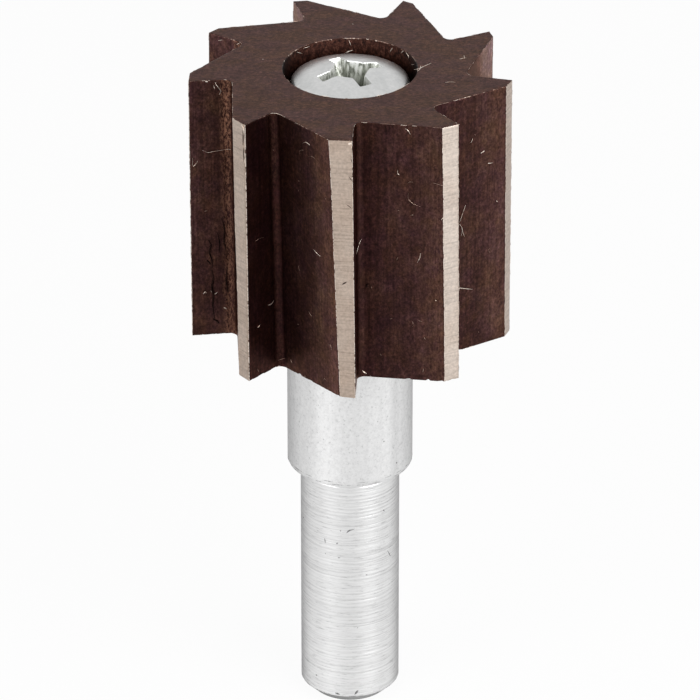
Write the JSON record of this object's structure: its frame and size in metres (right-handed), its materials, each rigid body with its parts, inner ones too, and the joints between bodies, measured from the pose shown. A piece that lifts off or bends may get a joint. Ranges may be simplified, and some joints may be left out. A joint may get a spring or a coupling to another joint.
{
  "type": "slot cutter router bit",
  "caption": "Straight-toothed steel cutter head with a ground land behind each edge, clamped by a cross-recess pan head screw to a stepped aluminium arbor with a plain straight shank.",
  "frame": {"origin": "centre of the flat end of the shank, where the tool stands", "axes": "+Z along the tool's axis, from the shank's end up to the cutter head and its screw; +X and +Y across it, with -Y towards the viewer of the picture"},
  "size_m": [0.0253, 0.025, 0.0564],
  "materials": {
    "cutter_steel": "dark brown oxide, with bright ground lands",
    "arbor_aluminium": "bare aluminium, turned",
    "screw_zinc": "bright zinc plate"
  },
  "bodies": {
    "root": {"cutter_head": "cutter_steel", "arbor": "arbor_aluminium", "clamp_screw": "screw_zinc"}
  },
  "joints": []
}
